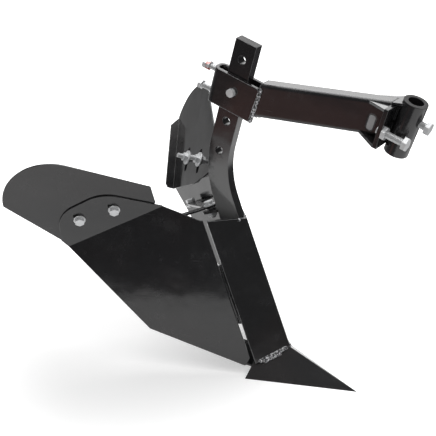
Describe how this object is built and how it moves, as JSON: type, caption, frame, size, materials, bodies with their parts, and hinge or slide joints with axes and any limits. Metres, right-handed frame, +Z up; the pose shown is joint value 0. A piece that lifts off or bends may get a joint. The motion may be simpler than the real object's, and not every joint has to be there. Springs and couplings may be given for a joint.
{
  "type": "ridging plough",
  "caption": "Small ridging plough with an arrow-shaped share, folding wings with sliding extensions, and a rising beam that ends in an upright hitch tube with stop bolts.",
  "frame": {"origin": "the middle of the hitch tube's bore", "axes": "+X is forward, towards the puller and the share's tip; +Y is to the plough's left; +Z is up, with the share's flat underside level"},
  "size_m": [0.5656, 0.458, 0.5118],
  "materials": {
    "black_paint": "gloss",
    "zinc_plated": "satin"
  },
  "bodies": {
    "frame": {"shank": "black_paint", "breast_plate": "black_paint", "share": "black_paint", "sole_plate": "black_paint", "breast_knuckles": "black_paint", "hinge_pins": "zinc_plated", "brace_bracket": "black_paint", "brace_bolt": "zinc_plated", "brace_nut": "zinc_plated", "clamp_strap": "black_paint", "clamp_bolts": "zinc_plated", "clamp_nut": "zinc_plated", "depth_pin": "zinc_plated", "beam_tube": "black_paint", "beam_key": "zinc_plated", "beam_end_plate": "black_paint", "hitch_gussets": "black_paint", "hitch_web": "black_paint", "hitch_strap": "black_paint", "hitch_tube": "black_paint", "stop_bolts": "zinc_plated", "stop_nuts": "zinc_plated", "set_bolt": "zinc_plated"},
    "right_wing": {"wing_right": "black_paint", "wing_knuckle_right": "black_paint", "brace_lug_right": "zinc_plated", "pivot_bolt_right": "zinc_plated", "wing_bolts_right": "zinc_plated", "wing_washers_right": "zinc_plated", "wing_nuts_right": "zinc_plated"},
    "right_extension": {"extension_right": "black_paint"},
    "right_brace": {"brace_right": "black_paint"},
    "left_wing": {"wing_left": "black_paint", "wing_knuckle_left": "black_paint", "brace_lug_left": "zinc_plated", "pivot_bolt_left": "zinc_plated", "wing_bolts_left": "zinc_plated", "wing_washers_left": "zinc_plated", "wing_nuts_left": "zinc_plated"},
    "left_extension": {"extension_left": "black_paint"},
    "left_brace": {"brace_left": "black_paint"}
  },
  "joints": [
    {"name": "right_wing_hinge", "type": "hinge", "parent": "frame", "child": "right_wing", "pos_m": [-0.24336, -0.0373, -0.32445], "axis": [-0.3811, 0, 0.9245], "range_deg": [-5.5, 5.5]},
    {"name": "right_extension_slide", "type": "slide", "parent": "right_wing", "child": "right_extension", "axis": [-0.1571, -0.5641, 0.8106], "range_m": [0, 0.016]},
    {"name": "right_brace_pivot", "type": "hinge", "parent": "right_wing", "child": "right_brace", "pos_m": [-0.41753, -0.09033, -0.23616], "axis": [-0.3811, 0, 0.9245], "range_deg": [-1, 1]},
    {"name": "left_wing_hinge", "type": "hinge", "parent": "frame", "child": "left_wing", "pos_m": [-0.24336, 0.0373, -0.32445], "axis": [0.3811, 0, -0.9245], "range_deg": [-5.5, 5.5]},
    {"name": "left_extension_slide", "type": "slide", "parent": "left_wing", "child": "left_extension", "axis": [-0.1571, 0.5641, 0.8106], "range_m": [0, 0.016]},
    {"name": "left_brace_pivot", "type": "hinge", "parent": "left_wing", "child": "left_brace", "pos_m": [-0.41143, 0.09033, -0.25095], "axis": [0.3811, 0, -0.9245], "range_deg": [-1, 1]}
  ],
  "couplings": [
    {"joint": "right_brace_pivot", "follows": "right_wing_hinge", "ratio": -0.081},
    {"joint": "left_brace_pivot", "follows": "left_wing_hinge", "ratio": -0.081}
  ]
}
